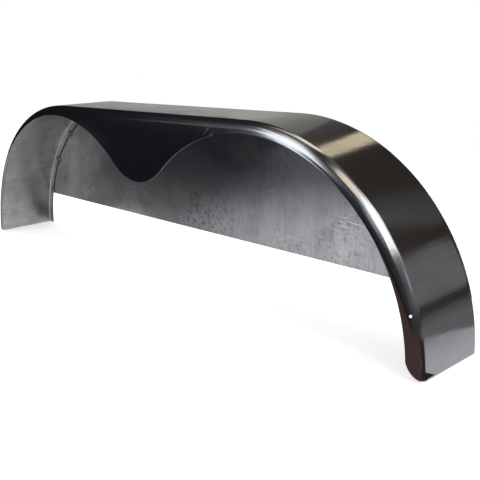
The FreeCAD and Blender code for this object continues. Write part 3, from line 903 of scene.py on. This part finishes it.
    def add_card(self, name, codes, x, y, z, strength=1.0, lean=0.0):
        """Flat studio card, seen only as a reflection in the metal.

        Its place is two spans and one single number. The second of its colours is reached at the
        end of its first span. Its top or its far side may lean sideways.
        """
        spans = [place if isinstance(place, tuple) else (place, place) for place in (x, y, z)]
        low, high = (Vector(corner) for corner in zip(*spans))
        thin = min(range(3), key=lambda axis: high[axis] - low[axis])
        facing = [(0, math.pi / 2, 0), (math.pi / 2, 0, 0), (0, 0, 0)][thin]
        bpy.ops.object.select_all(action="DESELECT")
        bpy.ops.mesh.primitive_plane_add(size=1, rotation=facing)
        card = bpy.context.object
        card.name = card.data.name = name
        bpy.ops.object.transform_apply(rotation=True)
        widths = [max(high[axis] - low[axis], NEAR) for axis in range(3)]
        slant = (1, lean, 0, 0) if thin == 2 else (1, 0, lean, 0)
        leaning = Matrix((slant, (0, 1, 0, 0), (0, 0, 1, 0), (0, 0, 0, 1)))
        middle = Matrix.Translation((low + high) / 2)
        card.data.transform(middle @ leaning @ Matrix.Diagonal((*widths, 1)))
        material, tree = new_material(name)
        side = 0 if thin != 0 else 1
        place = add_node(tree, "TexCoord").outputs["Object"]
        split = add_node(tree, "SeparateXYZ", {"Vector": place})
        along = add_node(tree, "MapRange", {
            "Value": split.outputs[side], "From Min": low[side], "From Max": high[side]})
        first, *second = [linear(code) for code in codes.split()]
        tone = add_node(tree, "Mix", {
            0: along, 6: first, 7: second[0] if second else first}, data_type="RGBA")
        glow = add_node(tree, "Emission", {"Color": tone, "Strength": strength})
        add_node(tree, "OutputMaterial", {"Surface": glow})
        card.data.materials.append(material)
        card.visible_camera = False
        card.visible_diffuse = False
        card.visible_transmission = False
        card.visible_shadow = False

    def add_cards(self):
        """Dark tent round the object, with the pale, warm and bright cards that it mirrors."""
        for card in self.CARDS:
            self.add_card(*card)

    def add_lamp(self, name, place, target, width, tall, power):
        """Soft lamp aimed at a point, whose own shape the metal doesn't mirror."""
        away = Vector(place) - Vector(target)
        bpy.ops.object.light_add(type="AREA", location=place,
                                 rotation=away.to_track_quat("Z", "Y").to_euler())
        lamp = bpy.context.object
        lamp.name = lamp.data.name = name
        lamp.data.shape = "RECTANGLE"
        lamp.data.size = width
        lamp.data.size_y = tall
        lamp.data.energy = power
        lamp.visible_camera = False
        lamp.visible_glossy = False

    def add_lamps(self):
        """Two large soft lamps, where the bright cards are."""
        self.add_lamp("window_lamp", (-1.9, -3.9, 2.5), (0.0, 0.0, 0.2), 1.4, 3.8, 45)
        self.add_lamp("ceiling_lamp", (3.6, -0.3, 4.2), (0.3, 0.0, 0.2), 2.5, 4.5, 90)

    def add_camera(self, context):
        """Camera at the photograph's place and viewing angle."""
        stage = context.scene.mudguard_stage
        level = Euler((math.pi / 2 - stage.drop, 0, stage.heading)).to_matrix()
        rolled = level @ Matrix.Rotation(stage.roll, 3, "Z")
        bpy.ops.object.camera_add(location=self.CAMERA, rotation=rolled.to_euler())
        camera = context.object
        camera.name = camera.data.name = "camera"
        camera.data.lens = stage.focal
        camera.data.sensor_width = 36.0
        camera.data.shift_x, camera.data.shift_y = self.SHIFT
        context.scene.camera = camera


class MUDGUARD_PT_panel(bpy.types.Panel):
    """Sizes, colours and steps of the mudguard"""

    bl_idname = "MUDGUARD_PT_panel"
    bl_label = "Trailer mudguard"
    bl_space_type = "VIEW_3D"
    bl_region_type = "UI"
    bl_category = "Mudguard"

    def draw(self, context):
        for group in ("mudguard_sizes", "mudguard_colours", "mudguard_stage"):
            settings = getattr(context.scene, group)
            column = self.layout.column(align=True)
            for name in settings.bl_rna.properties.keys():
                if name not in ("rna_type", "name"):
                    column.prop(settings, name)
        for step in STEPS:
            self.layout.operator(step.bl_idname)


STEPS = (MUDGUARD_OT_stage, MUDGUARD_OT_skin, MUDGUARD_OT_plate, MUDGUARD_OT_tacks)
GROUPS = {
    "mudguard_sizes": MudguardSizes,
    "mudguard_colours": MudguardColours,
    "mudguard_stage": MudguardStage,
}


def register():
    for kind in (*GROUPS.values(), *STEPS, MUDGUARD_PT_panel):
        bpy.utils.register_class(kind)
    for name, kind in GROUPS.items():
        setattr(bpy.types.Scene, name, bpy.props.PointerProperty(type=kind))


def unregister():
    for name in GROUPS:
        delattr(bpy.types.Scene, name)
    for kind in (MUDGUARD_PT_panel, *reversed(STEPS), *reversed(GROUPS.values())):
        bpy.utils.unregister_class(kind)


def main():
    register()
    bpy.ops.mudguard.stage()
    bpy.ops.mudguard.skin()
    bpy.ops.mudguard.plate()
    bpy.ops.mudguard.tacks()


if __name__ == "__main__":
    main()
